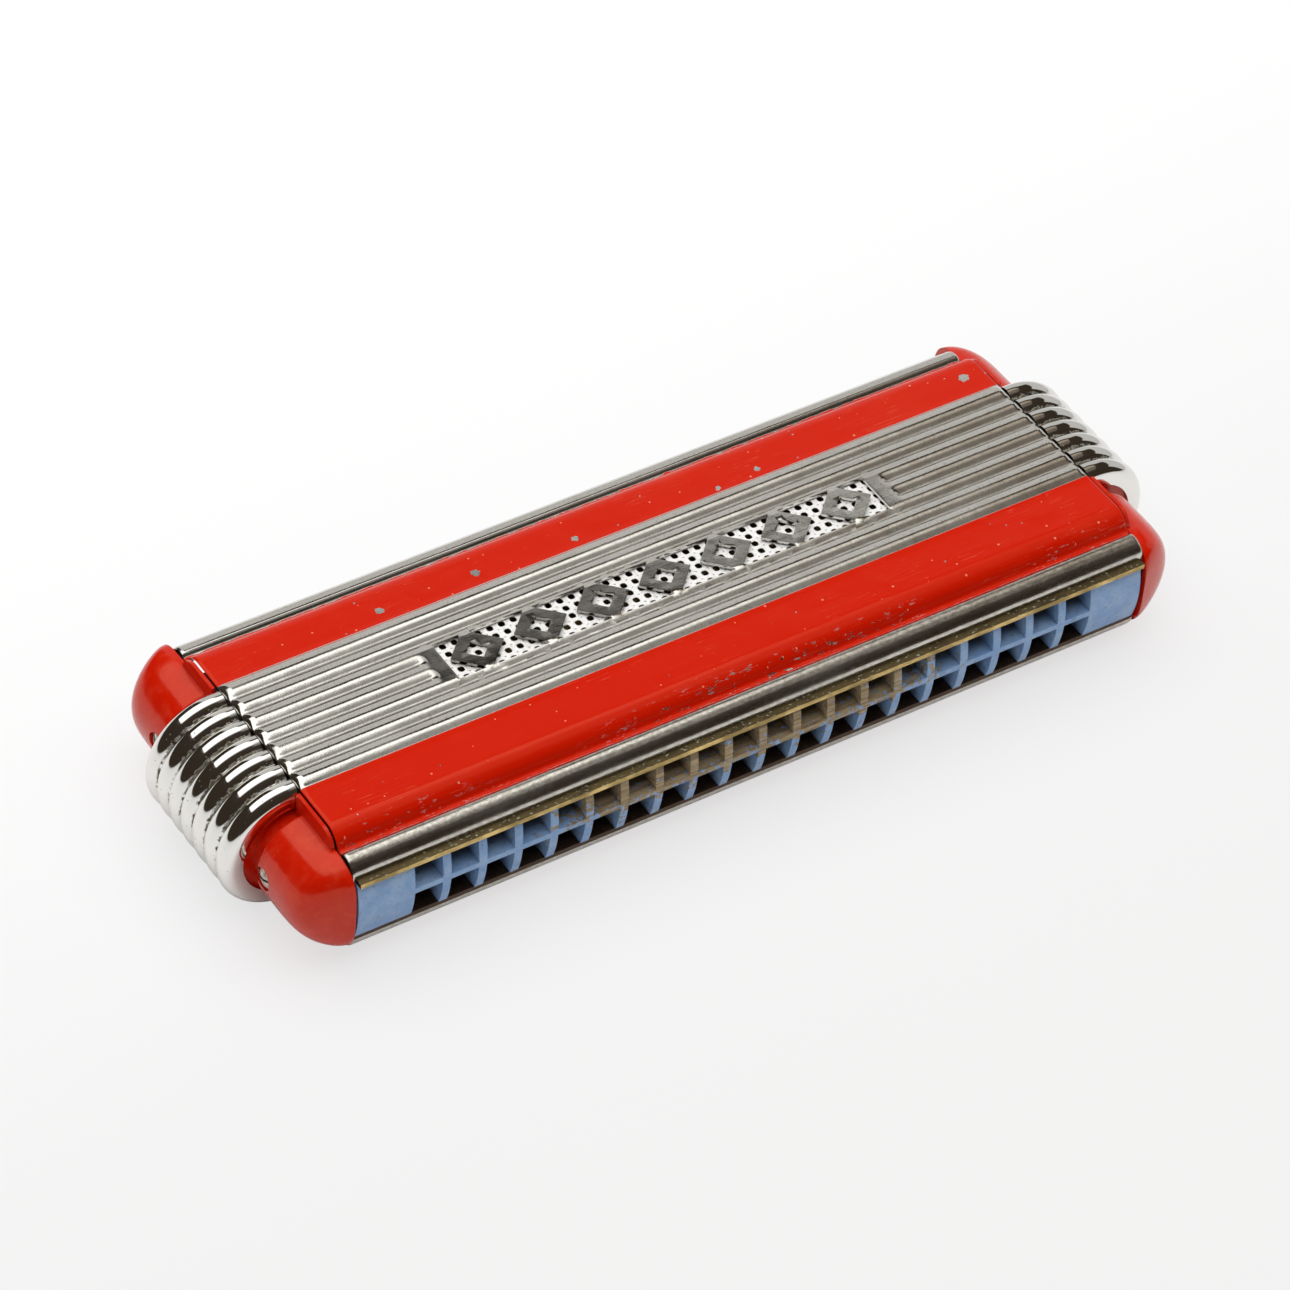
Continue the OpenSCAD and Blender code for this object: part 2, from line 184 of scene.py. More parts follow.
def combine(obj, other, operation):
    """Boolean of two closed meshes; the second one is used up."""
    tool = obj.modifiers.new(operation, "BOOLEAN")
    tool.operation = operation
    tool.solver = "EXACT"
    tool.object = other
    bake(obj)
    bpy.data.objects.remove(other)
    return obj


def join(name, parts):
    """One object holding the meshes of several objects."""
    bm = bmesh.new()
    for part in parts:
        bm.from_mesh(part.data)
        bpy.data.objects.remove(part)
    mesh = bpy.data.meshes.new(name)
    bm.to_mesh(mesh)
    bm.free()
    obj = bpy.data.objects.new(name, mesh)
    bpy.context.scene.collection.objects.link(obj)
    return obj


def twin(obj, name, axis):
    """Copy mirrored across the middle of the body: axis 0 left to right, axis 2 top to bottom."""
    copy = bpy.data.objects.new(name, obj.data.copy())
    bpy.context.scene.collection.objects.link(copy)
    sign = [1, 1, 1]
    sign[axis] = -1
    shift = Matrix.Translation((0, 0, 2 * MID * MM if axis == 2 else 0))
    copy.data.transform(shift @ Matrix.Diagonal((*sign, 1)))
    copy.data.flip_normals()
    for tool in obj.modifiers:
        made = copy.modifiers.new(tool.name, tool.type)
        for prop in tool.bl_rna.properties:
            if not prop.is_readonly and prop.identifier not in ("name", "type"):
                setattr(made, prop.identifier, getattr(tool, prop.identifier))
    return copy


def bevel(obj, width, angle=50, segments=2):
    tool = obj.modifiers.new("Bevel", "BEVEL")
    tool.width = width * MM
    tool.segments = segments
    tool.limit_method = "ANGLE"
    tool.angle_limit = math.radians(angle)
    tool.use_clamp_overlap = True
    return obj


def weigh_normals(obj):
    tool = obj.modifiers.new("Weigh", "WEIGHTED_NORMAL")
    tool.keep_sharp = True
    return obj


def box_mesh(name, low, high):
    corners = [(x, y, z) for x in (low[0], high[0]) for y in (low[1], high[1]) for z in (low[2], high[2])]
    faces = [(0, 1, 3, 2), (4, 6, 7, 5), (0, 4, 5, 1), (2, 3, 7, 6), (0, 2, 6, 4), (1, 5, 7, 3)]
    return clean(make_object(name, corners, faces))


def arc(centre, radius, start, end, steps):
    """Points on a circle between two angles in degrees, both ends included."""
    turn = np.radians(np.linspace(start, end, steps + 1))
    return [(centre[0] + radius * math.cos(a), centre[1] + radius * math.sin(a)) for a in turn]


def turned_half(name, profile, steps, run=0):
    """Turns a closed outline of (radius, y) half way round the end; run is a straight start and finish."""
    count = len(profile)
    stops = [(END_X + run, math.pi * i / steps) for i in range(steps + 1)]
    if run:
        stops = [(END_X, 0)] + stops + [(END_X, math.pi)]
        steps += 2
    points = []
    for x, a in stops:
        points += [(x + r * math.sin(a), y, r * math.cos(a)) for r, y in profile]
    faces = []
    for i in range(steps):
        for j in range(count):
            k = (j + 1) % count
            faces.append((i * count + j, i * count + k, (i + 1) * count + k, (i + 1) * count + j))
    faces.append(tuple(range(count)))
    faces.append(tuple(steps * count + j for j in reversed(range(count))))
    return clean(make_object(name, points, faces))


def extruded_x(name, outline, x0, x1):
    """Closed solid from an outline of (y, z) points, between two places along X."""
    count = len(outline)
    points = [(x, y, z) for x in (x0, x1) for y, z in outline]
    faces = [(j, (j + 1) % count, count + (j + 1) % count, count + j) for j in range(count)]
    faces += [tuple(range(count)), tuple(count + j for j in reversed(range(count)))]
    return clean(make_object(name, points, faces))


def spun_x(name, profile, centre, steps=48):
    """Solid turned about a line along X; the profile of (x, radius) points starts and ends on it."""
    points = []
    for i in range(steps):
        a = 2 * math.pi * i / steps
        points += [(x, centre[0] + r * math.cos(a), centre[1] + r * math.sin(a)) for x, r in profile]
    count = len(profile)
    faces = []
    for i in range(steps):
        for j in range(count - 1):
            n = (i + 1) % steps
            faces.append((i * count + j, i * count + j + 1, n * count + j + 1, n * count + j))
    return clean(make_object(name, points, faces))


def finish_piece(obj, body, slot, materials, *nodes):
    """Gives a piece its materials and its body and hides the CAD nodes it stands for; the slot argument is not used."""
    slots = obj.data.materials
    for i, material in enumerate(materials):
        if i < len(slots):
            slots[i] = material
        else:
            slots.append(material)
    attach(obj, body)
    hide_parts(*nodes)
    return obj


# ---- Covers ----


def rib_table():
    """Height of the ribs above the land across the body, with softly rounded creases."""
    step = 0.01
    y = np.arange(-RIB_ZONE / 2 - 1, RIB_ZONE / 2 + 1 + step / 2, step)
    near = np.clip(np.round(y / PITCH), -(RIB_COUNT // 2), RIB_COUNT // 2) * PITCH
    off = np.minimum(np.abs(y - near), RIB_ARC)
    height = np.maximum(np.sqrt(RIB_ARC ** 2 - off ** 2) - (RIB_ARC - RIB_RISE), 0)
    reach = np.arange(-4 * CREASE_BLUR, 4 * CREASE_BLUR + step / 2, step)
    kernel = np.exp(-0.5 * (reach / CREASE_BLUR) ** 2)
    blurred = np.convolve(height, kernel / kernel.sum(), mode="same")
    crest = 1 - np.clip(np.abs(y - near) / PITCH * 5 - 0.75, 0, 1)
    return y, blurred + (height - blurred) * crest * crest * (3 - 2 * crest)


RIB_Y, RIB_Z = rib_table()


def ease(t):
    t = np.clip(t, 0, 1)
    return t * t * (3 - 2 * t)


def cover_top(x, y):
    """Height of the ribbed zone: ribs, the flat panel round the window and the ramps at the ends."""
    height = np.interp(y, RIB_Y, RIB_Z, 0, 0)
    if abs(y) < PITCH:
        flat = 1 - ease((abs(x) - PANEL_HALF) / PANEL_RAMP)
        height += (RIB_RISE - height) * flat
    return LAND + height * min(1, (COVER_HALF - abs(x)) / RIB_RAMP)


def edge_curl(x):
    """How far the last half millimetre of the sheet turns down at its ends."""
    reach = max(0, 1 - (COVER_HALF - abs(x)) / 0.5)
    return 0.22 * reach ** 2


def rib_samples():
    """Places across the ribbed zone, closer together near the creases."""
    one = np.sin(np.linspace(-math.pi / 2, math.pi / 2, 25)) * PITCH / 2
    ys = np.concatenate([one[:-1] + k * PITCH for k in range(-(RIB_COUNT // 2), RIB_COUNT // 2 + 1)])
    return [float(v) for v in ys] + [RIB_ZONE / 2]


def side_profile(trim):
    """Outline beside the ribs: land, shoulder, wall, groove and nose, as (y, z) points going out."""
    line = [(y, LAND) for y in np.linspace(RIB_ZONE / 2 + 0.25, LAND_EDGE - trim - 0.2, 6)]
    line += arc((LAND_EDGE - trim, LAND - SHOULDER_R), SHOULDER_R, 90, 21, 22)
    line += arc((GROOVE[0] - trim, GROOVE[1]), GROOVE_R, 196, 322, 12)
    line += arc((NOSE_Y - trim, PLATE_TOP), NOSE_R, 99, 0, 26)
    return line


def cover_profile():
    """Outer outline of the cover from the rear lip over the top to the front edge."""
    rear = side_profile(REAR_TRIM)
    wall = rear[-1][0]
    lip = [(wall, z) for z in np.linspace(PLATE_TOP - 0.4, LIP_DROP, 4)]
    hem = arc((wall - 0.5, LIP_DROP), 0.5, 0, -100, 6)[1:]
    front = [(-y, z) for y, z in side_profile(0)]
    return list(reversed(rear + lip + hem)) + [(-y, None) for y in rib_samples()] + front


def rounded(corners, radius, steps=6):
    """Closed outline with its corners rounded."""
    line = []
    count = len(corners)
    for i in range(count):
        before, here, after = (Vector(corners[(i + k) % count]) for k in (-1, 0, 1))
        a, b = (before - here).normalized(), (after - here).normalized()
        half = a.angle(b) / 2
        if math.pi / 2 - half < 0.02:
            line.append(tuple(here))
            continue
        reach = min(radius / math.tan(half), (before - here).length / 2.2, (after - here).length / 2.2)
        start, end = here + a * reach, here + b * reach
        for k in range(steps + 1):
            t = k / steps
            p = start * (1 - t) ** 2 + here * 2 * t * (1 - t) + end * t ** 2
            line.append((p.x, p.y))
    return line


def window_openings():
    """Openings left between and inside the row of lozenge rings."""
    step = 2 * WINDOW_HALF_L / LOZENGE_COUNT
    centres = [(k - (LOZENGE_COUNT - 1) / 2) * step for k in range(LOZENGE_COUNT)]
    out_l, out_w = LOZENGE_OUT
    w = WINDOW_HALF_W
    blunt = out_l * (1 - w / out_w)
    holes = [[(c - LOZENGE_IN[0], 0), (c, -LOZENGE_IN[1]), (c + LOZENGE_IN[0], 0), (c, LOZENGE_IN[1])]
             for c in centres]
    for a, b in zip(centres, centres[1:]):
        holes.append([(a + blunt, -w), (b - blunt, -w), (b - out_l, 0), (b - blunt, w), (a + blunt, w), (a + out_l, 0)])
    for sign in (-1, 1):
        c = centres[0 if sign < 0 else -1] * sign * sign
        end = sign * WINDOW_HALF_L
        holes.append([(end, -w), (c + sign * blunt, -w), (c + sign * out_l, 0), (c + sign * blunt, w), (end, w)])
    return [rounded(hole, 0.22) for hole in holes]


def inside(point, outline):
    x, y = point
    hit = False
    for (x0, y0), (x1, y1) in zip(outline, outline[1:] + outline[:1]):
        if (y0 > y) != (y1 > y) and x < x0 + (y - y0) * (x1 - x0) / (y1 - y0):
            hit = not hit
    return hit


def near_outline(point, outline, gap):
    """Whether a point is closer than gap to an outline."""
    p = np.array(point)
    a = np.array(outline)
    d = np.roll(a, -1, axis=0) - a
    t = np.clip(((p - a) * d).sum(1) / (d ** 2).sum(1), 0, 1)
    return float(np.min(np.linalg.norm(a + d * t[:, None] - p, axis=1))) < gap


def window_strip(edge_xs, edge_ys):
    """The pierced strip of the cover between two creases, as points and triangles."""
    holes = window_openings()
    border = [(x, -STRIP_HALF_W) for x in edge_xs] + [(STRIP_HALF_L, y) for y in edge_ys[1:-1]]
    border += [(x, STRIP_HALF_W) for x in reversed(edge_xs)] + [(-STRIP_HALF_L, y) for y in reversed(edge_ys[1:-1])]
    spots = list(border)
    edges = [(i, (i + 1) % len(border)) for i in range(len(border))]
    for hole in holes:
        first = len(spots)
        spots += hole
        edges += [(first + i, first + (i + 1) % len(hole)) for i in range(len(hole))]
    rows = [y for y in edge_ys[1:-1] if abs(y) > 3] + list(np.linspace(-2.8, 2.8, 9))
    for x in np.concatenate([np.linspace(-STRIP_HALF_L, STRIP_HALF_L, 61)[1:-1],
                             *[s * np.linspace(PANEL_HALF, PANEL_HALF + PANEL_RAMP, 7) for s in (-1, 1)]]):
        deep = abs(x) > PANEL_HALF - 0.4
        for y in (edge_ys[1:-1] if deep else rows):
            if not any(inside((x, y), h) or near_outline((x, y), h, 0.06) for h in holes):
                spots.append((float(x), float(y)))
    found, _, tris, *_ = delaunay_2d_cdt([Vector(s) for s in spots], edges, [], 0, 1e-6)
    kept = []
    for tri in tris:
        middle = sum((found[i] for i in tri), Vector((0, 0))) / len(tri)
        if not any(inside(middle, hole) for hole in holes):
            kept.append(tuple(tri))
    return [(p.x, p.y, cover_top(p.x, p.y)) for p in found], kept


def cover_surface():
    """Outer surface of the upper cover, open at its edges."""
    ends = [0, 0.06, 0.14, 0.25, 0.4, 0.6, 0.8, RIB_RAMP, 1.4, 4, 9, 14, 19, 24]
    outer = [COVER_HALF - e for e in ends]
    inner = list(np.linspace(-STRIP_HALF_L, STRIP_HALF_L, 23))
    xs = [-x for x in outer] + inner + list(reversed(outer))
    profile = cover_profile()
    points = []
    for x in xs:
        for y, z in profile:
            height = cover_top(x, y) if z is None else z
            points.append((x, y, height - edge_curl(x)))
    count = len(profile)
    faces = []
    for i in range(len(xs) - 1):
        for j in range(count - 1):
            mid_x, mid_y = (xs[i] + xs[i + 1]) / 2, (profile[j][0] + profile[j + 1][0]) / 2
            strip = profile[j][1] is None and profile[j + 1][1] is None
            if strip and abs(mid_x) < STRIP_HALF_L and abs(mid_y) < STRIP_HALF_W:
                continue
            faces.append((i * count + j, (i + 1) * count + j, (i + 1) * count + j + 1, i * count + j + 1))
    ys = sorted(y for y in rib_samples() if abs(y) < STRIP_HALF_W + 1e-6)
    strip_points, strip_faces = window_strip(inner, ys)
    base = len(points)
    faces += [tuple(base + i for i in face) for face in strip_faces]
    surface = make_object("cover_surface", points + strip_points, faces)
    clean(surface, 2e-6)
    high = max(surface.data.polygons, key=lambda f: f.center.z)
    if high.normal.z < 0:
        surface.data.flip_normals()
    return surface


def make_cover():
    cover = smooth(cover_surface(), 60)
    for _ in ("outer", "inner"):
        cover.data.materials.append(None)
    sheet = cover.modifiers.new("Sheet", "SOLIDIFY")
    sheet.thickness = SHEET * MM
    sheet.offset = -1
    sheet.use_even_offset = True
    sheet.material_offset = 1
    bake(cover)
    bevel(cover, 0.07, 55, 2)
    return weigh_normals(cover)


# ---- Pierced lace behind the window ----

LACE_STEP = (2.1, 1.8)
LACE_HOLE = (0.5, 0.52)


def lace_cell(cx, cy, half):
    """One cell of the lace: a rounded hole in a net of soft wires, as points and faces."""
    steps, rings = 28, 5
    points, faces = [], []
    for ring in range(rings + 1):
        for i in range(steps):
            a = 2 * math.pi * i / steps
            c, s = math.cos(a), math.sin(a)
            hole = (abs(c) ** 2.6 / LACE_HOLE[0] ** 2.6 + abs(s) ** 2.6 / LACE_HOLE[1] ** 2.6) ** (-1 / 2.6)
            rim = min(half[0] / max(abs(c), 1e-9), half[1] / max(abs(s), 1e-9))
            t = (ring / rings) ** 1.3
            r = hole + (rim - hole) * t
            rise = math.sqrt(max(0, 1 - max(0, 1 - (r - hole) / 0.16) ** 2))
            x, y = r * c, r * s
            groove = 0.07 * math.exp(-((half[0] - abs(x)) / 0.12) ** 2)
            points.append((cx + x, cy + y, 0.16 * (rise - 1) - groove))
    for ring in range(rings):
        for i in range(steps):
            n = (i + 1) % steps
            faces.append((ring * steps + i, (ring + 1) * steps + i, (ring + 1) * steps + n, ring * steps + n))
    return points, faces


def make_lace():
    columns = round(2 * GRILLE_HALF_L / LACE_STEP[0])
    rows = round(2 * GRILLE_HALF_W / LACE_STEP[1])
    half = (GRILLE_HALF_L / columns, GRILLE_HALF_W / rows)
    points, faces = [], []
    for i in range(columns):
        for j in range(rows):
            centre = ((2 * i + 1 - columns) * half[0], (2 * j + 1 - rows) * half[1])
            cell, sides = lace_cell(*centre, half)
            base = len(points)
            level = CREST - GRILLE_DROP
            points += [(x, y, z + level) for x, y, z in cell]
            faces += [tuple(base + k for k in side) for side in sides]
    lace = clean(make_object("upper_lace", points, faces), 1e-6)
    if sum(f.normal.z for f in lace.data.polygons) < 0:
        lace.data.flip_normals()
    smooth(lace, 180)
    sheet = lace.modifiers.new("Sheet", "SOLIDIFY")
    sheet.thickness = 0.16 * MM
    sheet.offset = -1
    return lace


# ---- Comb ----


def make_comb():
    """Wooden block with rounded mouth face and forty cells, edges softened."""
    rise = math.degrees(math.asin(COMB_RISE / MOUTH_R))
    front = arc((COMB_FRONT + MOUTH_R, 0), MOUTH_R, 180 + rise, 180 - rise, 40)
    outline = front + [(6.5, COMB_RISE), (6.5, -COMB_RISE)]
    comb = extruded_x("comb_body", outline, -COMB_HALF, COMB_HALF)
    holes_half = (COLUMNS * HOLE_PITCH - (HOLE_PITCH - HOLE_W)) / 2
    for sign in (-1, 1):
        x0, x1 = sorted((sign * (holes_half + 0.3), sign * COMB_HALF))
        combine(comb, box_mesh("arm", (x0, 6.0, -COMB_RISE), (x1, COMB_BACK, COMB_RISE)), "UNION")
    cells = []
    for i in range(COLUMNS):
        x = (i - (COLUMNS - 1) / 2) * HOLE_PITCH
        for z0, z1 in ((SEPTUM / 2, COMB_RISE + 2), (-COMB_RISE - 2, -SEPTUM / 2)):
            low = (x - HOLE_W / 2, COMB_FRONT - 2, z0)
            cells.append(box_mesh("cell", low, (x + HOLE_W / 2, CELL_BACK, z1)))
    combine(comb, join("cells", cells), "DIFFERENCE")
    bevel(smooth(comb, 25), 0.16, 40, 2)
    return weigh_normals(comb)


# ---- End caps ----


def lobe_half_sizes(y, front, wall):
    """Reach along X and half height of a lobe at one distance from the middle plane."""
    t = (y - LOBE_Y) / (front - LOBE_Y)
    reach = max(0, 1 - t ** LOBE_PLAN[0]) ** LOBE_PLAN[1]
    rise = max(0, 1 - t ** LOBE_FACE[0]) ** LOBE_FACE[1]
    into = max(0, LOBE_EDGE - (y - LOBE_Y)) if wall == 0 else 0
    round_off = LOBE_EDGE - math.sqrt(LOBE_EDGE ** 2 - into ** 2)
    return (LOBE_R - wall - round_off) * reach, (LOBE_RISE - wall - round_off) * rise


def make_lobe(side, wall, rows=36, steps=72):
    """One lobe of the right cap: round in plan and fuller in its end face; wall shrinks it to its hollow."""
    edge = [LOBE_Y + LOBE_EDGE * (1 - math.cos(a)) for a in np.linspace(0, math.pi / 2, 7)]
    start = edge[-1] if wall == 0 else LOBE_Y + wall
    front = CAP_DEPTH - wall
    along = [start + (front - start) * math.sin(a) for a in np.linspace(0, math.pi / 2, rows)]
    ys = (edge[:-1] if wall == 0 else []) + along
    base = END_X - CAP_LAP * (1 if wall == 0 else 3)
    points, faces = [], []
    for y in ys[:-1]:
        reach, rise = lobe_half_sizes(y, front, wall)
        points.append((base, side * y, rise))
        for i in range(steps + 1):
            a = math.pi * i / steps
            points.append((END_X + reach * math.sin(a), side * y, rise * math.cos(a)))
        points.append((base, side * y, -rise))
    count = steps + 3
    points += [(base, side * front, 0), (END_X, side * front, 0)]
    tip = len(points) - 1
    last = len(ys) - 2
    for i in range(last):
        for j in range(count - 1):
            faces.append((i * count + j, i * count + j + 1, (i + 1) * count + j + 1, (i + 1) * count + j))
    faces += [(last * count + j, last * count + j + 1, tip) for j in range(count - 1)]
    faces += [(last * count, tip, tip - 1), (last * count + count - 1, tip - 1, tip)]
    faces.append(tuple(range(count)))
    outline = [i * count for i in range(last + 1)] + [tip - 1] + [i * count + count - 1 for i in range(last, -1, -1)]
    faces.append(tuple(outline))
    return clean(make_object("lobe", points, faces))


def collar_outline(side, inset):
    """Plate closing the end of the covers beside the band, as (y, z) points."""
    step = COLLAR_STEP + inset
    r = SHOULDER_R - COLLAR_STEP
    top, out = LAND - step, LAND_EDGE + SHOULDER_R - step - (REAR_TRIM if side > 0 else 0)
    upper = [(DRUM_HALF_W + BAND_ROOM, top)] + arc((out - r, top - r), r, 90, 0, 14)
    line = upper + [(y, -z) for y, z in reversed(upper)]
    return [(side * y, z) for y, z in line]


def make_cap():
    """Right end cap: two lobes, the core under the band and the collars, hollow inside."""
    channel = LOBE_Y + 0.5
    core = [(0, -channel), (GROOVE_FLOOR, -channel), (GROOVE_FLOOR, -DRUM_HALF_W), (DRUM_R, -DRUM_HALF_W),
            (DRUM_R, DRUM_HALF_W), (GROOVE_FLOOR, DRUM_HALF_W), (GROOVE_FLOOR, channel), (0, channel)]
    cap = turned_half("right_cap_shell", core, 96)
    for side in (-1, 1):
        combine(cap, make_lobe(side, 0), "UNION")
        combine(cap, extruded_x("collar", collar_outline(side, 0), END_X, END_X + COLLAR_T), "UNION")
        combine(cap, extruded_x("inner", collar_outline(side, COLLAR_INSET), COVER_HALF, END_X + CAP_LAP), "UNION")
    boss_r, boss_end = 2.3, SEAT_X + 0.5
    for side in (-1, 1):
        centre = (side * SCREW_Y, 0)
        combine(cap, make_lobe(side, CAP_WALL, 18, 36), "DIFFERENCE")
        boss = [(END_X, 0), (END_X, boss_r), (boss_end, boss_r), (boss_end, 0)]
        combine(cap, spun_x("boss", boss, centre), "UNION")
        well = [(SEAT_X, 0), (SEAT_X, WELL_R), (CAP_TIP + 1, WELL_R), (CAP_TIP + 1, 0)]
        combine(cap, spun_x("well", well, centre), "DIFFERENCE")
    return smooth(clean(cap), 30)


def band_line(inset):
    """Ridged outline of the end band in (radius, y), from one side to the other."""
    arc_r = ((PITCH / 2) ** 2 + RIDGE_RISE ** 2) / (2 * RIDGE_RISE)
    last = (RIB_COUNT - 1) / 2 * PITCH
    centre = BAND_R - arc_r
    side = last + arc_r
    y = np.linspace(-side, side, 360)
    near = np.clip(np.round(y / PITCH), -(RIB_COUNT // 2), RIB_COUNT // 2) * PITCH
    off = np.minimum(np.abs(y - near), arc_r)
    r = centre + np.sqrt(arc_r ** 2 - off ** 2)
    kernel = np.exp(-0.5 * (np.arange(-4, 5) / 1.6) ** 2)
    soft = np.convolve(np.pad(r, 4, mode="edge"), kernel / kernel.sum(), mode="valid")
    r = np.where(np.abs(y) < last + PITCH / 2 - 0.2, soft, r)
    squeeze = (side - inset) / side
    line = [(radius - inset, place_y * squeeze) for radius, place_y in zip(r, y)]
    return [(BAND_RIM, line[0][1])] + line + [(BAND_RIM, line[-1][1])]


def make_band():
    """Right end band: one ridged sheet bent half way round the cap's core."""
    outline = band_line(0) + list(reversed(band_line(BAND_SHEET)))
    return smooth(turned_half("right_band_shell", outline, 128, BAND_RUN), 40)


def make_screws():
    """Two slotted screws of the right end cap, heads and shanks."""
    dome = 0.4
    dome_r = (SCREW_HEAD_R ** 2 + dome ** 2) / (2 * dome)
    screws = []
    for side in (-1, 1):
        reach = math.degrees(math.asin((SCREW_HEAD_R - 0.12) / dome_r))
        top = arc((SEAT_X + 0.95 - dome_r, 0), dome_r, 0, reach, 8)
        rim = [(SEAT_X + 0.55, SCREW_HEAD_R), (SEAT_X, SCREW_HEAD_R), (SEAT_X, 1.0)]
        shank = [(COMB_HALF - 8.5, 1.0), (COMB_HALF - 8.5, 0)]
        screw = spun_x("screw", top + rim + shank, (side * SCREW_Y, 0), 64)
        slot = box_mesh("slot", (SEAT_X + 0.4, -3, -0.24), (SEAT_X + 2, 3, 0.24))
        turn = Matrix.Rotation(math.radians(28 * side + 12), 4, "X")
        centre = Vector((0, side * SCREW_Y * MM, MID * MM))
        slot.data.transform(Matrix.Translation(centre) @ turn @ Matrix.Translation((0, 0, -MID * MM)))
        screws.append(combine(screw, slot, "DIFFERENCE"))
    pair = smooth(join("right_screw_pair", screws), 30)
    return bevel(pair, 0.05, 50, 2)


# ---- Materials ----


class Surface:
    """A node material with short calls for the nodes used here; places are in millimetres."""

    def __init__(self, name):
        self.material = bpy.data.materials.new(name)
        self.material.use_nodes = True
        self.tree = self.material.node_tree
        self.shader = self.tree.nodes["Principled BSDF"]
        coordinates = self.add("ShaderNodeTexCoord")
        scaled = self.add("ShaderNodeVectorMath", operation="SCALE")
        self.link(coordinates.outputs["Object"], scaled.inputs[0])
        scaled.inputs["Scale"].default_value = 1 / MM
        self.spot = scaled.outputs[0]
        parts = self.add("ShaderNodeSeparateXYZ")
        self.link(self.spot, parts.inputs[0])
        self.x, self.y = parts.outputs[0], parts.outputs[1]
        self.z = self.math("SUBTRACT", parts.outputs[2], MID)

    def add(self, kind, **settings):
        node = self.tree.nodes.new(kind)
        for key, value in settings.items():
            setattr(node, key, value)
        return node

    def link(self, source, target):
        self.tree.links.new(source, target)

    def feed(self, target, value):
        if isinstance(value, bpy.types.NodeSocket):
            self.link(value, target)
        else:
            target.default_value = value

    def math(self, operation, a, b=0.0, clamp=False):
        node = self.add("ShaderNodeMath", operation=operation, use_clamp=clamp)
        self.feed(node.inputs[0], a)
        self.feed(node.inputs[1], b)
        return node.outputs[0]

    def ramp(self, value, low, high, out_low=0.0, out_high=1.0):
        """Smooth step of value from low to high, mapped to the output range."""
        node = self.add("ShaderNodeMapRange", interpolation_type="SMOOTHSTEP")
        for key, item in zip(("Value", "From Min", "From Max", "To Min", "To Max"),
                             (value, low, high, out_low, out_high)):
            self.feed(node.inputs[key], item)
        return node.outputs[0]

    def noise(self, scale, detail=3.0, stretch=(1, 1, 1), turn=0.0, offset=0.0, rough=0.55):
        mapping = self.add("ShaderNodeMapping")
        self.link(self.spot, mapping.inputs[0])
        mapping.inputs["Location"].default_value = (offset, offset * 0.7, offset * 1.3)
        mapping.inputs["Rotation"].default_value = (0, 0, turn)
        mapping.inputs["Scale"].default_value = stretch
        node = self.add("ShaderNodeTexNoise")
        self.link(mapping.outputs[0], node.inputs["Vector"])
        node.inputs["Scale"].default_value = scale
        node.inputs["Detail"].default_value = detail
        node.inputs["Roughness"].default_value = rough
        return node.outputs["Fac"]

    def specks(self, scale, size, share, offset=0.0, warp=0.0, flat=False):
        """Spots of uneven size in some cells of a random grid; warp makes them ragged, flat ignores height."""
        mapping = self.add("ShaderNodeMapping")
        self.link(self.spot, mapping.inputs[0])
        if warp:
            shift = self.add("ShaderNodeVectorMath", operation="SCALE")
            shift.inputs["Scale"].default_value = warp
            wobble = self.add("ShaderNodeTexNoise")
            wobble.inputs["Scale"].default_value = 1.6
            self.link(self.spot, wobble.inputs["Vector"])
            self.link(wobble.outputs["Color"], shift.inputs[0])
            moved = self.add("ShaderNodeVectorMath", operation="ADD")
            self.link(self.spot, moved.inputs[0])
            self.link(shift.outputs[0], moved.inputs[1])
            self.link(moved.outputs[0], mapping.inputs[0])
        mapping.inputs["Location"].default_value = (offset, offset, offset)
        cells = self.add("ShaderNodeTexVoronoi", voronoi_dimensions="2D" if flat else "3D")
        self.link(mapping.outputs[0], cells.inputs["Vector"])
        cells.inputs["Scale"].default_value = scale
        parts = self.add("ShaderNodeSeparateColor")
        self.link(cells.outputs["Color"], parts.inputs[0])
        picked = self.ramp(parts.outputs[0], 1 - share, 1 - share + 0.02)
        reach = self.math("MULTIPLY", parts.outputs[1], size)
        spot = self.math("LESS_THAN", cells.outputs["Distance"], reach)
        return self.math("MULTIPLY", spot, picked)

    def scratches(self, turn, offset, width=0.006, along=0.03, across=1.3, gate=0.56):
        """Thin long lines at an angle to X, broken up into short runs."""
        lines = self.noise(1.0, 2.0, (along, across, across), turn, offset)
        near = self.math("ABSOLUTE", self.math("SUBTRACT", lines, 0.5))
        thin = self.ramp(near, 0.0, width, 1.0, 0.0)
        runs = self.ramp(self.noise(0.09, 2.0, offset=offset + 9), gate, gate + 0.05)
        return self.math("MULTIPLY", thin, runs)

    def mix(self, factor, a, b):
        node = self.add("ShaderNodeMix", data_type="RGBA")
        self.feed(node.inputs[0], factor)
        for socket, value in ((node.inputs[6], a), (node.inputs[7], b)):
            if isinstance(value, tuple):
                value = (*value, 1)
            self.feed(socket, value)
        return node.outputs[2]

    def blend_value(self, factor, a, b):
        node = self.add("ShaderNodeMix", data_type="FLOAT")
        self.feed(node.inputs[0], factor)
        self.feed(node.inputs[2], a)
        self.feed(node.inputs[3], b)
        return node.outputs[0]

    def bump(self, height, distance, before=None):
        """Bump whose height of 1 stands for a distance in millimetres."""
        node = self.add("ShaderNodeBump")
        node.inputs["Strength"].default_value = 1
        node.inputs["Distance"].default_value = distance * MM
        self.feed(node.inputs["Height"], height)
        if before:
            self.link(before, node.inputs["Normal"])
        return node.outputs[0]

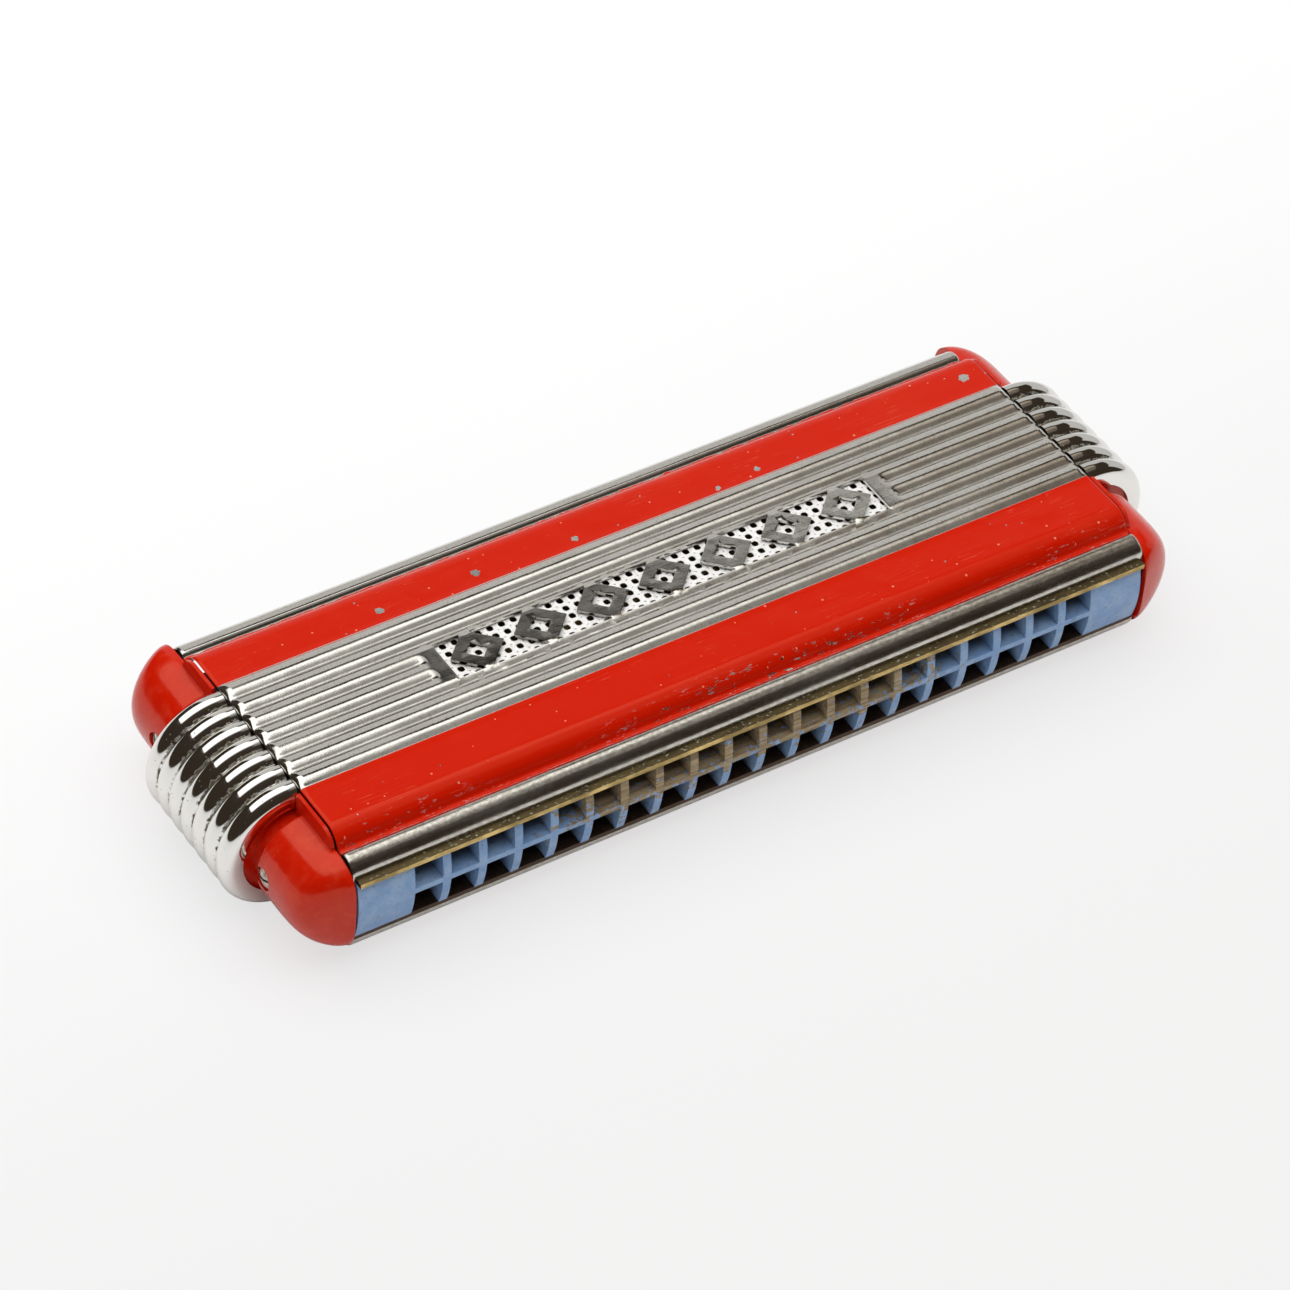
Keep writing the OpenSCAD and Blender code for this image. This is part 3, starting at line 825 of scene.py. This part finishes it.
    def soft_edges(self, radius):
        node = self.add("ShaderNodeBevel", samples=4)
        node.inputs["Radius"].default_value = radius * MM
        return node.outputs[0]

    def set(self, **inputs):
        names = {"color": "Base Color", "metallic": "Metallic", "roughness": "Roughness", "normal": "Normal",
                 "coat": "Coat Weight", "coat_roughness": "Coat Roughness", "specular": "Specular IOR Level",
                 "coat_normal": "Coat Normal", "tint": "Specular Tint"}
        for key, value in inputs.items():
            if isinstance(value, tuple):
                value = (*value, 1)
            self.feed(self.shader.inputs[names[key]], value)
        return self.material


RED = (0.62, 0.010, 0.0006)
RED_SHINE = (1.0, 0.62, 0.34)
RED_WORN = (0.80, 0.075, 0.03)
SILVER = (0.80, 0.785, 0.74)
SILVER_STAIN = (0.46, 0.42, 0.36)
GRIME = (0.07, 0.05, 0.03)
PANEL_DARK = (0.16, 0.15, 0.14)
BRASS = (0.36, 0.26, 0.09)


def metal_bump(s, wave=0.012, grain=0.0):
    """Slow waviness of a rolled sheet with fine polishing marks and a pitted grain."""
    slow = s.bump(s.noise(0.16, 2.0, offset=3), wave * 6)
    fine = s.bump(s.noise(2.2, 3.0, (0.25, 1, 1), offset=5), wave * 0.12, slow)
    return s.bump(s.noise(3.4, 2.0, offset=15), grain, fine) if grain else fine


def paint_color(s, flat):
    """Red enamel with rubbed streaks, faint scratches and dust specks."""
    rubbed = s.ramp(s.noise(0.07, 4.0, (0.5, 1, 1), offset=21), 0.58, 0.85, 0, 0.22)
    base = s.mix(rubbed, RED, RED_WORN)
    marks = s.math("MAXIMUM", s.scratches(0.03, 2.0, 0.004), s.scratches(-0.32, 17.0, 0.003))
    marks = s.math("MULTIPLY", marks, 0.3)
    dust = s.math("MULTIPLY", s.specks(0.35, 0.07, 0.25, 4.0, flat=flat), 0.75)
    return s.mix(s.math("MAXIMUM", marks, dust), base, (0.86, 0.30, 0.19)), marks


def make_cover_metal():
    """Worn nickel with red enamel over the lands, the shoulders and the grooves."""
    s = Surface("cover_metal")
    side = s.math("ABSOLUTE", s.y)
    outward = s.math("ADD", side, s.math("MULTIPLY", s.math("GREATER_THAN", s.y, 0.0), REAR_TRIM))
    ragged = s.math("MULTIPLY", s.math("SUBTRACT", s.noise(1.3, 4.0, (0.4, 1, 1), offset=11), 0.5), 0.6)
    inner_edge = s.ramp(side, RIB_ZONE / 2 - 0.02, RIB_ZONE / 2 + 0.06)
    outer_edge = s.ramp(s.math("ADD", outward, ragged), PAINT_END - 0.04, PAINT_END + 0.03, 1, 0)
    rear = s.ramp(s.y, 12.0, 13.0)
    lost = s.math("MULTIPLY", s.specks(0.12, 0.15, 0.26, 6.0, 1.1, True), rear)
    nicks = s.specks(0.45, 0.08, 0.08, 44.0, 0.5, True)
    rim = s.math("MULTIPLY", s.ramp(side, 21.3, 22.3), s.ramp(s.noise(0.02, 1.0, offset=31), 0.4, 0.55))
    flaked = s.math("MULTIPLY", rim, s.ramp(s.noise(1.5, 5.0, (0.35, 1, 1), offset=33, rough=0.7), 0.6, 0.62))
    chips = s.math("SUBTRACT", 1.0, s.math("MAXIMUM", s.math("MAXIMUM", lost, nicks), flaked))
    painted = s.math("MULTIPLY", s.math("MULTIPLY", inner_edge, outer_edge), chips)
    red, marks = paint_color(s, True)
    stain = s.ramp(s.noise(0.35, 5.0, (0.35, 1, 1), offset=7), 0.5, 0.8, 0, 0.35)
    pits = s.math("MULTIPLY", s.ramp(s.noise(2.6, 3.0, offset=8, rough=0.7), 0.52, 0.66), 0.4)
    nose = s.math("MULTIPLY", s.ramp(outward, PAINT_END - 0.1, PAINT_END + 0.1),
                  s.ramp(s.y, -1.0, 1.0, 1.0, 0.15))
    patina = s.ramp(s.noise(1.8, 5.0, (0.6, 1, 1), offset=27, rough=0.7), 0.36, 0.62, 0.25, 0.8)
    stain = s.math("MAXIMUM", s.math("MAXIMUM", stain, pits), s.math("MULTIPLY", nose, patina))
    metal = s.mix(stain, SILVER, SILVER_STAIN)
    panel = s.math("MULTIPLY", s.math("LESS_THAN", side, PITCH * 0.99),
                   s.ramp(s.math("ABSOLUTE", s.x), PANEL_HALF + 0.2, PANEL_HALF + 0.9, 1, 0))
    shade = s.math("MULTIPLY", panel, s.ramp(s.x, -30.0, 45.0, 0.75, 0.15))
    metal = s.mix(shade, metal, PANEL_DARK)
    valley = s.math("ABSOLUTE", s.math("SUBTRACT", s.math("FRACT", s.math("DIVIDE", s.y, PITCH)), 0.5))
    grimy = s.ramp(valley, 0.02, 0.06, 0.25, 0.0)
    zone = s.ramp(side, RIB_ZONE / 2 - 0.3, RIB_ZONE / 2, 1, 0)
    spotty = s.ramp(s.noise(0.6, 4.0, (0.3, 1, 1), offset=13), 0.4, 0.6)
    dirt = s.math("MULTIPLY", s.math("MULTIPLY", grimy, zone), spotty)
    metal = s.mix(dirt, metal, GRIME)
    dull = s.ramp(s.noise(0.25, 4.0, (0.3, 1, 1), offset=19), 0.3, 0.8, 0.08, 0.20)
    dull = s.math("ADD", dull, s.math("MULTIPLY", nose, 0.08))
    step = s.bump(painted, 0.05, metal_bump(s, 0.012, 0.006))
    flat = s.bump(painted, 0.05, metal_bump(s, 0.012))
    normal = s.add("ShaderNodeMix", data_type="VECTOR")
    s.link(painted, normal.inputs[0])
    s.link(step, normal.inputs[4])
    s.link(flat, normal.inputs[5])
    return s.set(color=s.mix(painted, metal, red), metallic=s.math("SUBTRACT", 1.0, painted),
                 roughness=s.blend_value(painted, dull, s.blend_value(marks, 0.16, 0.4)),
                 normal=normal.outputs[1], specular=s.blend_value(painted, 0.5, 0.4),
                 tint=s.mix(painted, (1.0, 1.0, 1.0), RED_SHINE))


def make_inner_metal():
    # Painted shade: the inside of the covers is coloured dark brown in patches, standing for the shade inside the body.
    s = Surface("cover_inside")
    patch = s.ramp(s.noise(0.2, 5.0, offset=2), 0.35, 0.7)
    return s.set(color=s.mix(patch, (0.22, 0.15, 0.09), (0.10, 0.065, 0.035)), metallic=0.6,
                 roughness=s.ramp(s.noise(1.1, 3.0, offset=4), 0.3, 0.7, 0.35, 0.6),
                 normal=s.bump(s.noise(1.5, 4.0), 0.02))


def make_enamel():
    """Glossy red enamel of the end caps with small chips on the proud edges."""
    s = Surface("red_enamel")
    red, marks = paint_color(s, False)
    normal = s.bump(s.noise(0.3, 2.0, offset=3), 0.03, s.soft_edges(0.2))
    deep = s.noise(0.5, 4.0, offset=15)
    return s.set(color=s.mix(s.ramp(deep, 0.45, 0.75, 0, 0.25), red, RED_WORN), metallic=0.0,
                 roughness=s.blend_value(marks, s.ramp(deep, 0.3, 0.7, 0.14, 0.24), 0.5), normal=normal,
                 specular=0.45, tint=RED_SHINE, coat=0.2, coat_roughness=0.05)


def make_chrome():
    """Bright plating of the end bands, dirty in the creases."""
    s = Surface("band_chrome")
    valley = s.math("ABSOLUTE", s.math("SUBTRACT", s.math("FRACT", s.math("DIVIDE", s.y, PITCH)), 0.5))
    ragged = s.math("MULTIPLY", s.math("SUBTRACT", s.noise(1.1, 5.0, offset=6, rough=0.7), 0.5), 0.3)
    crease = s.ramp(s.math("ADD", valley, ragged), 0.03, 0.10, 1, 0)
    between = s.ramp(s.math("ABSOLUTE", s.y), 3 * PITCH - 0.6, 3 * PITCH - 0.2, 1, 0)
    low = s.math("MULTIPLY", s.math("MULTIPLY", crease, between), s.ramp(s.noise(0.8, 4.0, offset=14), 0.4, 0.55))
    specks = s.math("MULTIPLY", s.specks(1.6, 0.2, 0.3, 2.0), 0.8)
    dirt = s.math("MAXIMUM", low, specks)
    return s.set(color=s.mix(dirt, (0.84, 0.83, 0.8), (0.10, 0.085, 0.035)),
                 metallic=s.ramp(dirt, 0, 1, 1.0, 0.1), roughness=s.ramp(dirt, 0, 1, 0.075, 0.7),
                 normal=metal_bump(s, 0.006))


def make_lace_metal():
    """White stamped lace; the sides of its holes turn brown with depth as painted shade."""
    s = Surface("grille_metal")
    tone = s.noise(0.9, 3.0, offset=1)
    white = s.mix(s.ramp(tone, 0.45, 0.75, 0, 0.4), (0.97, 0.96, 0.94), (0.62, 0.58, 0.5))
    # Painted shade: the deeper below the lace top, the browner.
    depth = s.math("SUBTRACT", CREST - GRILLE_DROP, s.math("ABSOLUTE", s.z))
    painted_hole_shade = s.ramp(depth, 0.07, 0.16)
    return s.set(color=s.mix(painted_hole_shade, white, (0.09, 0.07, 0.05)), metallic=0.15,
                 roughness=s.ramp(tone, 0.3, 0.7, 0.22, 0.38), normal=s.bump(s.noise(3.0, 2.0), 0.01))


def make_comb_paint():
    """Pale blue paint over wood, worn to the wood on the middle dividers; the cells darken inward from the mouth face
    as painted shade.
    """
    s = Surface("comb_wood")
    grain = s.noise(1.0, 4.0, (0.12, 1.2, 2.6), offset=4)
    wood = s.mix(s.ramp(grain, 0.35, 0.7), (0.50, 0.38, 0.22), (0.24, 0.17, 0.10))
    patchy = s.noise(0.35, 5.0, offset=9, rough=0.65)
    paint = s.mix(s.ramp(patchy, 0.35, 0.7), (0.23, 0.40, 0.70), (0.34, 0.50, 0.75))
    middle = s.ramp(s.math("ABSOLUTE", s.math("ADD", s.x, 2.0)), 22.0, 46.0, 1, 0)
    upper = s.ramp(s.z, -3.5, 2.0, 0.35, 1.0)
    amount = s.math("MULTIPLY", middle, upper)
    wear = s.math("ADD", s.noise(0.8, 5.0, offset=23, rough=0.7), s.math("MULTIPLY", amount, 0.3))
    worn = s.ramp(wear, 0.66, 0.71)
    # Painted shade: the cells darken from the mouth face inward.
    deep = s.ramp(s.y, COMB_FRONT + 0.7, COMB_FRONT + 5.0)
    color = s.mix(worn, paint, wood)
    color = s.mix(s.math("MULTIPLY", deep, 0.8), color, (0.12, 0.11, 0.10))
    soil = s.ramp(s.noise(1.4, 5.0, offset=41, rough=0.7), 0.55, 0.72, 0, 0.55)
    color = s.mix(soil, color, (0.10, 0.075, 0.05))
    height = s.math("ADD", s.math("MULTIPLY", worn, -0.6), s.math("MULTIPLY", grain, 0.5))
    return s.set(color=color, roughness=s.blend_value(worn, 0.42, 0.8), normal=s.bump(height, 0.06))


def make_brass():
    """Plate brass: front-facing faces golden as a painted highlight, olive with pale flecks on top, and the lower plate
    brown as painted shade.
    """
    s = Surface("plate_brass")
    tone = s.noise(0.5, 5.0, (0.5, 1, 1), offset=3)
    # Painted highlight: faces turned to the front are coloured golden.
    facing = s.add("ShaderNodeSeparateXYZ")
    s.link(s.add("ShaderNodeNewGeometry").outputs["Normal"], facing.inputs[0])
    edge = s.ramp(facing.outputs[1], -0.8, -0.4, 1, 0)
    top = s.mix(s.ramp(tone, 0.35, 0.65), (0.15, 0.11, 0.045), (0.08, 0.055, 0.025))
    flecks = s.ramp(s.noise(2.3, 4.0, (0.6, 1, 1), offset=12), 0.6, 0.66, 0, 0.7)
    top = s.mix(flecks, top, (0.45, 0.50, 0.36))
    golden_highlight = s.mix(s.ramp(tone, 0.3, 0.6), (0.78, 0.56, 0.22), BRASS)
    # Painted shade: the lower plate is coloured dark brown.
    lower = s.ramp(s.z, -0.5, 0.5, 1, 0)
    color = s.mix(lower, s.mix(edge, top, golden_highlight), (0.085, 0.05, 0.03))
    flecks = s.math("MULTIPLY", flecks, s.math("SUBTRACT", 1.0, edge))
    return s.set(color=color, metallic=s.ramp(flecks, 0, 1, 0.8, 0.1),
                 roughness=s.ramp(tone, 0.3, 0.7, 0.3, 0.55), normal=s.bump(s.noise(2.0, 4.0), 0.03))


def make_reed_brass():
    s = Surface("reed_brass")
    brushed = s.noise(2.0, 3.0, (4, 0.15, 1), offset=5)
    return s.set(color=s.mix(s.ramp(brushed, 0.3, 0.7), (0.62, 0.45, 0.17), (0.42, 0.29, 0.1)), metallic=1.0,
                 roughness=s.ramp(brushed, 0.3, 0.7, 0.22, 0.42), normal=s.bump(brushed, 0.008))


def make_screw_metal():
    s = Surface("screw_nickel")
    tone = s.noise(1.2, 5.0, offset=7)
    return s.set(color=s.mix(s.ramp(tone, 0.4, 0.7), (0.66, 0.63, 0.57), (0.28, 0.23, 0.17)), metallic=1.0,
                 roughness=s.ramp(tone, 0.3, 0.7, 0.2, 0.5), normal=s.bump(s.noise(4.0, 3.0), 0.02))


# ---- Studio ----


def stage_plane(name, corners, material):
    mesh = bpy.data.meshes.new(name)
    mesh.from_pydata(corners, [], [tuple(range(len(corners)))])
    obj = bpy.data.objects.new(name, mesh)
    bpy.context.scene.collection.objects.link(obj)
    obj.data.materials.append(material)
    return obj


def glow(name, level, color=(1, 1, 1)):
    """Plain emission of one brightness."""
    material = bpy.data.materials.new(name)
    material.use_nodes = True
    tree = material.node_tree
    tree.nodes.clear()
    lamp = tree.nodes.new("ShaderNodeEmission")
    lamp.inputs["Color"].default_value = (*color, 1)
    lamp.inputs["Strength"].default_value = level
    out = tree.nodes.new("ShaderNodeOutputMaterial")
    tree.links.new(lamp.outputs[0], out.inputs[0])
    return material


def softbox_glow():
    """Bright panel; in reflections only a soft strip of it shines, and it turns brown to the right."""
    s = Surface("softbox_glow")
    far, near = s.math("MULTIPLY", s.x, MM), s.math("MULTIPLY", s.y, MM)
    fade = s.ramp(far, *SOFTBOX_FADE)
    mirrored = s.mix(fade, SOFTBOX_MIRROR, SOFTBOX_BROWN)
    mirrored = s.mix(s.ramp(near, *STRIP_FRONT), s.mix(fade, *STRIP_SKIRT), mirrored)
    mirrored = s.mix(s.ramp(near, *SKIRT_FRONT), ROOM_MIRROR, mirrored)
    mirrored = s.mix(s.ramp(near, *STRIP_BACK), mirrored, ROOM_MIRROR)
    left = s.mix(s.ramp(near, *LEFT_FRONT), ROOM_MIRROR, SOFTBOX_LEFT)
    mirrored = s.mix(s.ramp(far, *LEFT_EDGE), left, mirrored)
    path = s.add("ShaderNodeLightPath")
    tone = s.mix(path.outputs["Is Glossy Ray"], (1.0, 1.0, 1.0), mirrored)
    lamp = s.add("ShaderNodeEmission")
    s.link(tone, lamp.inputs["Color"])
    s.feed(lamp.inputs["Strength"], s.blend_value(path.outputs["Is Glossy Ray"], SOFTBOX_LEVEL, 1.0))
    out = s.tree.nodes["Material Output"]
    s.link(lamp.outputs[0], out.inputs[0])
    return s.material


def make_floor():
    """White table; what the camera sees of it is lifted, so the shadows stay as faint as on a lit table."""
    s = Surface("floor_white")
    tone = s.noise(0.004, 2.0, offset=3)
    s.set(color=s.mix(s.ramp(tone, 0.3, 0.7), (0.86, 0.86, 0.86), (0.88, 0.88, 0.875)), roughness=0.6,
          specular=0.2)
    lamp = s.add("ShaderNodeEmission")
    s.feed(lamp.inputs["Strength"], s.ramp(s.y, *FLOOR_FADE, *FLOOR_LEVEL))
    seen = s.math("MULTIPLY", s.add("ShaderNodeLightPath").outputs["Is Camera Ray"], FLOOR_LIFT)
    both = s.add("ShaderNodeMixShader")
    s.link(seen, both.inputs[0])
    s.link(s.shader.outputs[0], both.inputs[1])
    s.link(lamp.outputs[0], both.inputs[2])
    s.link(both.outputs[0], s.tree.nodes["Material Output"].inputs[0])
    return s.material


FLOOR_LIFT = 0.74
FLOOR_LEVEL = (0.89, 1.06)
FLOOR_FADE = (-90.0, 140.0)
SOFTBOX_HEIGHT = 0.85
SOFTBOX_OUTLINE = [(-0.75, -0.55), (-0.75, 1.0), (0.15, 0.75), (0.75, 0.30), (0.75, -0.55)]
SOFTBOX_LEVEL = 2.15
STRIP_FRONT = (-0.05, 0.24)
STRIP_BACK = (0.36, 0.48)
LEFT_EDGE = (0.20, 0.30)
LEFT_FRONT = (-0.25, 0.0)
SOFTBOX_LEFT = (1.5, 1.48, 1.43)
STRIP_SKIRT = ((0.30, 0.29, 0.27), (0.14, 0.115, 0.09))
SKIRT_FRONT = (-0.50, -0.30)
SOFTBOX_FADE = (0.34, 0.58)
SOFTBOX_MIRROR = (1.45, 1.43, 1.38)
SOFTBOX_BROWN = (0.36, 0.30, 0.23)
WALL_LEVEL = 0.56
ROOM = (0.12, 0.11, 0.10)
ROOM_MIRROR = (0.035, 0.026, 0.018)


def build_studio():
    floor_z = -0.00004
    reach = 4.0
    corners = [(-reach, -reach, floor_z), (reach, -reach, floor_z), (reach, reach, floor_z), (-reach, reach, floor_z)]
    stage_plane("floor", corners, make_floor())
    h = SOFTBOX_HEIGHT
    panel = [(x, y, h) for x, y in SOFTBOX_OUTLINE]
    stage_plane("softbox", panel, softbox_glow())
    wall = glow("wall_glow", WALL_LEVEL, (1, 0.985, 0.955))
    d, left, side = 1.5, 0.1, 2.4
    low_top, high_top, right_top = 1.44, 2.25, 1.28
    back = [(left, d, 0), (side, d, 0), (side, d, high_top), (left, d, low_top)]
    stage_plane("backdrop", back, wall)
    right = [(side, d, 0), (side, -0.6, 0), (side, -0.6, right_top), (side, d, right_top)]
    stage_plane("backdrop_right", right, wall)
    world = bpy.data.worlds.new("room")
    world.use_nodes = True
    tree = world.node_tree
    path = tree.nodes.new("ShaderNodeLightPath")
    tone = tree.nodes.new("ShaderNodeMix")
    tone.data_type = "RGBA"
    tone.inputs[6].default_value = (*ROOM, 1)
    tone.inputs[7].default_value = (*ROOM_MIRROR, 1)
    tree.links.new(path.outputs["Is Glossy Ray"], tone.inputs[0])
    tree.links.new(tone.outputs[2], tree.nodes["Background"].inputs["Color"])
    bpy.context.scene.world = world
    bpy.context.scene.view_settings.view_transform = "Standard"


CAMERA_AZIMUTH = -36.44
CAMERA_ELEVATION = 43.86
CAMERA_ROLL = 5.36
CAMERA_DISTANCE = 865.7
CAMERA_SHIFT = (-2.98, -10.23)
CAMERA_LENS = 158.15


def build_camera():
    az, el, roll = (math.radians(v) for v in (CAMERA_AZIMUTH, CAMERA_ELEVATION, CAMERA_ROLL))
    back = Vector((math.sin(az) * math.cos(el), -math.cos(az) * math.cos(el), math.sin(el)))
    level = Vector((math.cos(az), math.sin(az), 0))
    upright = back.cross(level)
    right = level * math.cos(roll) + upright * math.sin(roll)
    up = upright * math.cos(roll) - level * math.sin(roll)
    aim = Vector((0, 0, MID + LAND))
    spot = aim + back * CAMERA_DISTANCE + right * CAMERA_SHIFT[0] + up * CAMERA_SHIFT[1]
    data = bpy.data.cameras.new("camera")
    data.sensor_width = 36
    data.lens = CAMERA_LENS
    data.clip_start = 0.05
    camera = bpy.data.objects.new("camera", data)
    bpy.context.scene.collection.objects.link(camera)
    turn = Matrix((right, up, back)).transposed().to_4x4()
    camera.matrix_world = Matrix.Translation(spot * MM) @ turn
    bpy.context.scene.camera = camera


# ---- Assembly ----


def dress_cad_nodes(brass, reed):
    """Materials and softened edges for the CAD nodes that stay as they are."""
    for name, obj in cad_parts.items():
        if "reed_plate" in name or "nails" in name or "rivets" in name:
            obj.data.materials.clear()
            obj.data.materials.append(brass)
        elif "reeds" in name or "roots" in name:
            obj.data.materials.clear()
            obj.data.materials.append(reed)
        if "reed_plate" in name:
            bevel(obj, 0.08, 60, 2)


def build():
    body = "harmonica"
    metal, inner = make_cover_metal(), make_inner_metal()
    red, chrome, lace_metal = make_enamel(), make_chrome(), make_lace_metal()
    comb_paint, screw_metal = make_comb_paint(), make_screw_metal()
    cover = make_cover()
    cover.name = "upper_cover_shell"
    lower = twin(cover, "lower_cover_shell", 2)
    finish_piece(cover, body, "cover_metal", [metal, inner], "upper_cover")
    finish_piece(lower, body, "cover_metal", [metal, inner], "lower_cover")
    lace = make_lace()
    lace_twin = twin(lace, "lower_lace", 2)
    finish_piece(lace, body, "grille_metal", [lace_metal], "upper_grille")
    finish_piece(lace_twin, body, "grille_metal", [lace_metal], "lower_grille")
    finish_piece(make_comb(), body, "comb_wood", [comb_paint], "comb")
    for piece, slot, material, node in ((make_cap(), "red_enamel", red, "end_cap"),
                                        (make_band(), "band_chrome", chrome, "end_band"),
                                        (make_screws(), "screw_nickel", screw_metal, "end_screws")):
        other = twin(piece, piece.name.replace("right", "left"), 0)
        finish_piece(piece, body, slot, [material], "right_" + node)
        finish_piece(other, body, slot, [material], "left_" + node)
    dress_cad_nodes(make_brass(), make_reed_brass())


build()
build_studio()
build_camera()
